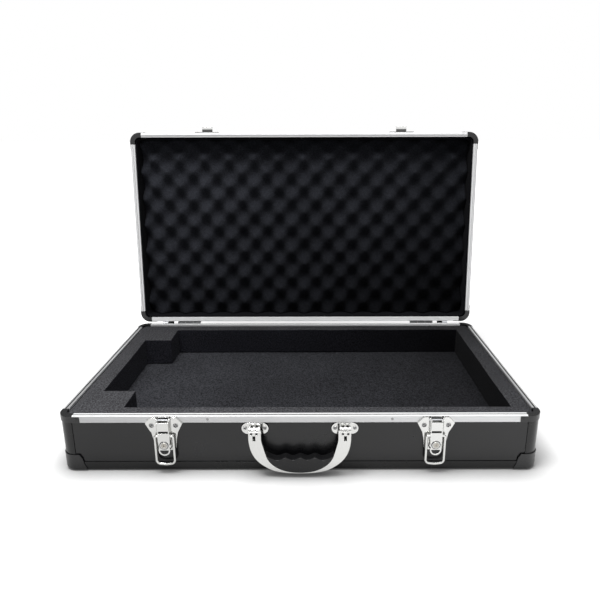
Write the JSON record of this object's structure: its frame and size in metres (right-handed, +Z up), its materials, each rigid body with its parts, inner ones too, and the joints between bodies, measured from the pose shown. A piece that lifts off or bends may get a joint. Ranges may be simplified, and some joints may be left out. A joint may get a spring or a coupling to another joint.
{
  "type": "pedalboard carrying case",
  "caption": "Hinged hard case with aluminium rims, draw latches and a swing handle, with foam cut out to hold a pedalboard.",
  "frame": {"origin": "middle of the tray's underside, on the plane of the bottom edge trim", "axes": "+X along the front from left to right, +Y from the handle side to the hinge side, +Z up"},
  "size_m": [0.6824, 0.4777, 0.4796],
  "materials": {
    "pocket_foam": "closed-cell charcoal foam, cut faces",
    "lid_foam": "open-cell black egg-crate foam",
    "panel": "fine leather-grain black laminate",
    "rail": "satin anodised extrusion",
    "edge_trim": "satin black",
    "corner_plastic": "moulded semi-gloss black",
    "rubber_foot": "matt",
    "grip": "matt moulded grip",
    "chrome": "bright nickel-chrome plate",
    "plated_steel": "zinc plated pressings and pins",
    "rivet": "domed rivet heads",
    "lock_brass": "nickel-plated key plug"
  },
  "bodies": {
    "tray": {"foam_base_pad": "pocket_foam", "foam_insert_frame": "pocket_foam", "handle_bracket_rivets": "rivet", "handle_brackets": "chrome", "handle_pivot_pins": "plated_steel", "hinge_pins": "plated_steel", "hinge_tray_leaves": "plated_steel", "hinge_tray_rivets": "rivet", "latch_base_plates": "chrome", "latch_pivot_pins": "plated_steel", "latch_rivets": "rivet", "lid_stop_rivets": "rivet", "lid_stops": "plated_steel", "tray_back_panel": "panel", "tray_back_rail": "rail", "tray_bottom_panel": "panel", "tray_bottom_trim": "edge_trim", "tray_corner_caps": "corner_plastic", "tray_corner_posts": "edge_trim", "tray_foot_screws": "plated_steel", "tray_front_panel": "panel", "tray_front_rail": "rail", "tray_left_panel": "panel", "tray_left_rail": "rail", "tray_rail_rivets": "rivet", "tray_rear_feet": "rubber_foot", "tray_right_panel": "panel", "tray_right_rail": "rail", "tray_rim_corners": "corner_plastic"},
    "lid": {"hinge_lid_leaves": "plated_steel", "hinge_lid_rivets": "rivet", "lid_back_panel": "panel", "lid_back_rail": "rail", "lid_corner_caps": "corner_plastic", "lid_corner_posts": "edge_trim", "lid_egg_crate_foam": "lid_foam", "lid_foot_screws": "plated_steel", "lid_front_panel": "panel", "lid_front_rail": "rail", "lid_left_panel": "panel", "lid_left_rail": "rail", "lid_rail_rivets": "rivet", "lid_rear_feet": "rubber_foot", "lid_right_panel": "panel", "lid_right_rail": "rail", "lid_rim_corners": "corner_plastic", "lid_side_lining": "lid_foam", "lid_strikes": "plated_steel", "lid_top_panel": "panel", "lid_top_trim": "edge_trim", "strike_rivets": "rivet"},
    "handle": {"handle_frame": "chrome", "handle_grip": "grip"},
    "left_lever": {"left_latch_lever": "chrome"},
    "left_bail": {"left_latch_bail": "chrome"},
    "left_key": {"left_latch_key_plug": "lock_brass"},
    "right_lever": {"right_latch_lever": "chrome"},
    "right_bail": {"right_latch_bail": "chrome"},
    "right_key": {"right_latch_key_plug": "lock_brass"}
  },
  "joints": [
    {"name": "lid_hinge", "type": "hinge", "parent": "tray", "child": "lid", "pos_m": [0, 0.1921, 0.087], "axis": [1, 0, 0], "range_deg": [0, 95]},
    {"name": "handle_swing", "type": "hinge", "parent": "tray", "child": "handle", "pos_m": [0, -0.197, 0.0695], "axis": [-1, 0, 0], "range_deg": [0, 95]},
    {"name": "left_lever_lift", "type": "hinge", "parent": "tray", "child": "left_lever", "pos_m": [-0.19, -0.1947, 0.0835], "axis": [-1, 0, 0], "range_deg": [0, 110]},
    {"name": "left_bail_swing", "type": "hinge", "parent": "left_lever", "child": "left_bail", "pos_m": [-0.19, -0.1955, 0.059], "axis": [1, 0, 0], "range_deg": [-180, 0]},
    {"name": "left_key_turn", "type": "hinge", "parent": "left_lever", "child": "left_key", "pos_m": [-0.19, -0.1985, 0.046], "axis": [0, -1, 0], "range_deg": [0, 90]},
    {"name": "right_lever_lift", "type": "hinge", "parent": "tray", "child": "right_lever", "pos_m": [0.19, -0.1947, 0.0835], "axis": [-1, 0, 0], "range_deg": [0, 110]},
    {"name": "right_bail_swing", "type": "hinge", "parent": "right_lever", "child": "right_bail", "pos_m": [0.19, -0.1955, 0.059], "axis": [1, 0, 0], "range_deg": [-180, 0]},
    {"name": "right_key_turn", "type": "hinge", "parent": "right_lever", "child": "right_key", "pos_m": [0.19, -0.1985, 0.046], "axis": [0, -1, 0], "range_deg": [0, 90]}
  ]
}
